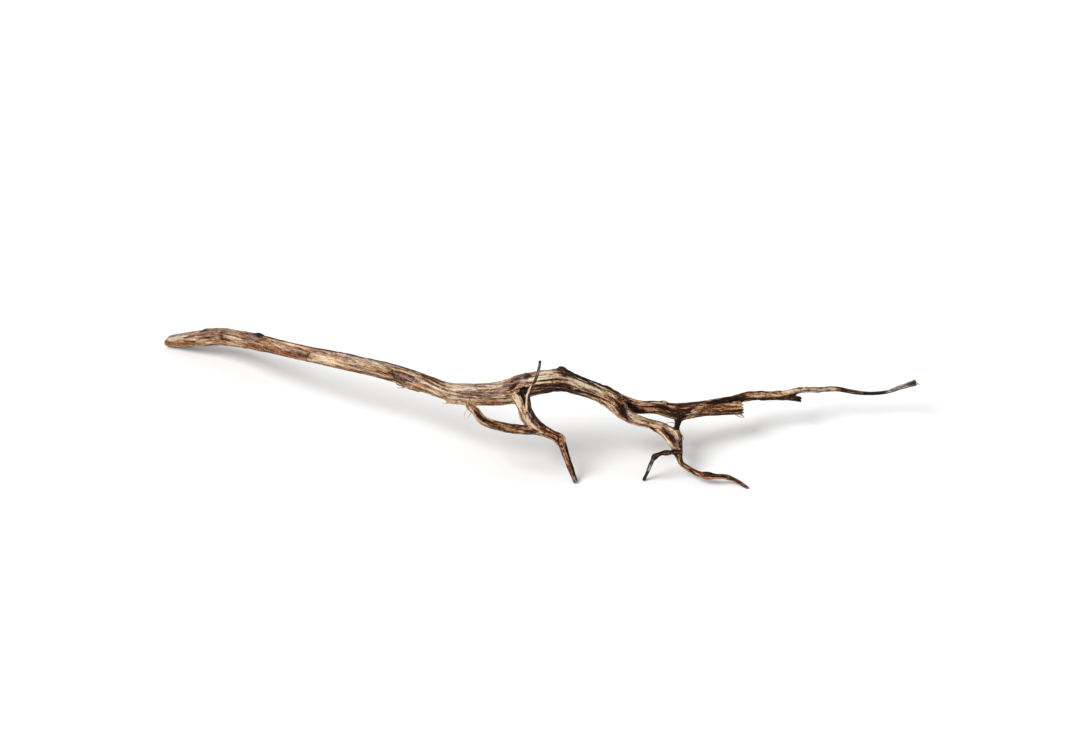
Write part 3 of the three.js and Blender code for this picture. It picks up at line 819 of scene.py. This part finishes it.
# A crack is where a broad noise passes its middle, and it comes and goes along the grain
crack_noise = streaks(60, 2.3, 0, 1, detail=1)
crack_line = add_node(tree, "ShaderNodeMath", {0: crack_noise, 1: 0.5}, operation="PINGPONG")
crack_depth = streaks(30, 7, 0.45, 0.6)
crack_limits = {"Value": crack_line, "From Min": 0.455, "From Max": 0.495, "To Max": crack_depth}
crack = add_node(tree, "ShaderNodeMapRange", crack_limits)

# The tone is how light the wood is, from 0 to 1: a middle, streaks that lie evenly round it and are
# stronger on worn wood, and what the marks add or take away. The clefts and cracks take tone away: painted
# shade in the splits, hollows and cracks.
STREAKS_EVENED = -0.675
MIDDLE_TONE = 0.54
contrast = STREAKS_EVENED
for weight, part in (
    (0.31, hair), (0.26, grain), (0.2, band), (0.16, patch), (0.2, fleck), (0.22, speckle),
    (0.24, on_branch["ridges"]), (0.12, on_branch["swell"]), (-0.42, on_branch["cleft"]), (-0.38, crack),
):
    contrast = add_node(tree, "ShaderNodeMath", {0: part, 1: weight, 2: contrast}, operation="MULTIPLY_ADD")
tone = MIDDLE_TONE
# bleached marks lighten the tone, and with them the painted highlights
for weight, part in (
    # black marks darken the tone, and with them the painted shade on the rims and in the hollows
    (on_branch["worn"], contrast), (0.38, on_branch["bleached"]), (-0.62, on_branch["black_and_painted_shade"]),
    (-0.15, on_branch["bark"]), (-0.09, on_branch["rust"]),
):
    tone = add_node(tree, "ShaderNodeMath", {0: part, 1: weight, 2: tone}, operation="MULTIPLY_ADD")

# Each kind of wood from its darkest tone to its lightest
TINTS = {
    "golden": ((0, "#1E1006"), (0.25, "#5C371A"), (0.5, "#9A6B3C"), (0.75, "#C59C6A"), (1, "#E8CFA6")),
    "grey": ((0, "#1B1714"), (0.3, "#5C534B"), (0.6, "#988D82"), (1, "#D2CABF")),
    "bark": ((0, "#231612"), (0.25, "#573C31"), (0.5, "#866759"), (0.75, "#AC9181"), (1, "#D2BFB0")),
    "rust": ((0, "#1C0A04"), (0.25, "#5A2E18"), (0.5, "#98623F"), (0.75, "#C29775"), (1, "#E6CDB2")),
}
bare = (
    (0, "#180B05"), (0.2, "#452A19"), (0.42, "#85654B"),
    (0.62, "#AF9073"), (0.82, "#D0B799"), (1, "#EADAC0"),
)
colour = add_node(tree, "ShaderNodeValToRGB", {"Fac": tone}, stops=bare)
stained = add_node(tree, "ShaderNodeValToRGB", {"Fac": tone}, stops=TINTS["rust"])
colour = add_node(tree, "ShaderNodeMix", {0: stain, 6: colour, 7: stained}, 2, data_type="RGBA")
for name, stops in TINTS.items():
    # each tint shows where its mark is, with an edge that frays along the grain
    shown = -0.4
    for weight, part in ((1, on_branch[name]), (0.3, grain), (0.3, band), (0.2, fleck)):
        shown = add_node(tree, "ShaderNodeMath", {0: part, 1: weight, 2: shown}, operation="MULTIPLY_ADD")
    limits = {"Value": shown, "From Min": 0.3, "From Max": 0.7}
    shown = add_node(tree, "ShaderNodeMapRange", limits, interpolation_type="SMOOTHSTEP")
    tint = add_node(tree, "ShaderNodeValToRGB", {"Fac": tone}, stops=stops)
    colour = add_node(tree, "ShaderNodeMix", {0: shown, 6: colour, 7: tint}, 2, data_type="RGBA")
tree.links.new(colour, shader.inputs["Base Color"])

roughness = add_node(tree, "ShaderNodeMapRange", {"Value": grain, "To Min": 0.65, "To Max": 0.9})
tree.links.new(roughness, shader.inputs["Roughness"])
shader.inputs["Specular IOR Level"].default_value = DRY_WOOD_SHINE
height = 0
for weight, part in ((0.3, hair), (0.6, grain), (0.3, fleck), (-0.9, crack)):
    height = add_node(tree, "ShaderNodeMath", {0: part, 1: weight, 2: height}, operation="MULTIPLY_ADD")
bump = add_node(tree, "ShaderNodeBump", {"Height": height, "Strength": 0.8, "Distance": 0.5 * MM})
tree.links.new(bump, shader.inputs["Normal"])

branch.data.materials.append(weathered_wood)
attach(branch, "root")
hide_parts("snake_wood")


# Torn fibres: strands and slivers of wood that hang on where a limb has snapped or a strip has been pulled
# off. They are as thin as a hair or a match, still straw-coloured, and rooted in the branch they grew in.

# The places each strand runs through, in millimetres: x, y, z and its radius
STRANDS = [
    # on the ragged end of the root spur
    [(-54, -83, 65, 1.3), (-59, -83, 70, 0.9), (-60.5, -83, 72.8, 0.3)],
    [(-54, -82, 68, 1.2), (-56, -82, 72.5, 0.8), (-57, -81, 75.5, 0.25)],
    [(-57, -83, 66, 0.4), (-60.5, -84, 61, 0.25), (-61.8, -84, 55.5, 0.18), (-61.4, -84, 52, 0.12)],
    [(-54, -85, 63, 0.4), (-57, -85.5, 58, 0.22), (-58.5, -85, 54, 0.12)],
    [(-55, -78, 66, 1.2), (-62, -79, 66.5, 0.6), (-64.5, -79, 66, 0.2)],
    # round the end of the snapped limb
    [(193, -40, 28.5, 1.6), (200.5, -40, 26.5, 1), (203.5, -40, 23.4, 0.3)],
    [(195, -41, 27, 0.5), (201, -42, 24.5, 0.35), (204.5, -42, 23.8, 0.15)],
    [(191, -37, 36.5, 1.7), (198, -36, 37.4, 1.2), (201.5, -35.5, 36.8, 0.4)],
    [(194, -34, 34, 1.6), (200.5, -33.5, 33.2, 0.9), (203, -33, 32.4, 0.25)],
    # the sliver that lies across the root of the snapped limb
    [(146, -60.2, 41.2, 0.4), (150, -58.9, 42.8, 0.8), (154, -56.2, 43.4, 0.9), (158, -53.1, 43.6, 0.8),
     (162.5, -49.1, 42.8, 0.3)],
    # the claw behind the knee, and the hair that arches over the fork
    [(132.6, -76, 33.6, 1), (138.2, -77, 33.7, 1), (141.1, -78, 31.5, 0.8), (143.6, -78.5, 27.1, 0.5),
     (144.1, -79, 25.1, 0.2)],
    [(121, -69, 35, 0.4), (127.5, -66.3, 35.2, 0.35), (132.2, -66, 36, 0.35), (137, -66, 34.5, 0.3)],
    # the flake on the left of the front leg
    [(-9, -79, 63, 1.5), (-9.8, -82, 55.5, 1.3), (-7, -85, 51, 0.9), (-4, -87, 48, 0.3)],
    # under the trunk
    [(-60, -66, 60.5, 1.2), (-73.5, -68, 61, 0.8), (-82.5, -68.5, 59.3, 0.25)],
    [(-110, -41, 57.5, 1.1), (-119, -40, 57.8, 0.7), (-126.5, -39.5, 57, 0.2)],
    # the split end of the tail
    [(367, -4.5, 37.6, 1.3), (372.5, -5, 37.6, 0.9), (374.6, -5, 36.6, 0.3)],
]

strands = bpy.data.curves.new("torn_fibres", "CURVE")
strands.dimensions = "3D"
strands.bevel_depth = MM
strands.bevel_resolution = 1
strands.use_fill_caps = True
for stations in STRANDS:
    route = pith_line(stations, step=0.8)
    spline = strands.splines.new("POLY")
    spline.points.add(len(route["place"]) - 1)
    for point, place, radius in zip(spline.points, route["place"], route["radius"]):
        point.co = (*(place * MM), 1)
        point.radius = radius
fibres = bpy.data.objects.new("torn_fibres", strands)
bpy.context.collection.objects.link(fibres)
bpy.ops.object.select_all(action="DESELECT")
fibres.select_set(True)
bpy.context.view_layer.objects.active = fibres
bpy.ops.object.convert(target="MESH")

# Freshly torn wood: straw and honey with brown specks about 4 mm apart, drier and paler than the
# weathered face
SPECKS_PER_METRE = 260

torn_wood, tree, shader = new_material("torn_wood_fibre")
place = add_node(tree, "ShaderNodeTexCoord", {}, "Object")
specks = add_node(tree, "ShaderNodeTexNoise", {"Vector": place, "Scale": SPECKS_PER_METRE, "Detail": 3})
straw = ((0.36, "#6E5038"), (0.48, "#B08C66"), (0.62, "#D8BF9E"))
colour = add_node(tree, "ShaderNodeValToRGB", {"Fac": specks}, stops=straw)
tree.links.new(colour, shader.inputs["Base Color"])
roughness = add_node(tree, "ShaderNodeMapRange", {"Value": specks, "To Min": 0.65, "To Max": 0.95})
tree.links.new(roughness, shader.inputs["Roughness"])
shader.inputs["Specular IOR Level"].default_value = DRY_WOOD_SHINE
fibres.data.materials.append(torn_wood)
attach(fibres, "root")
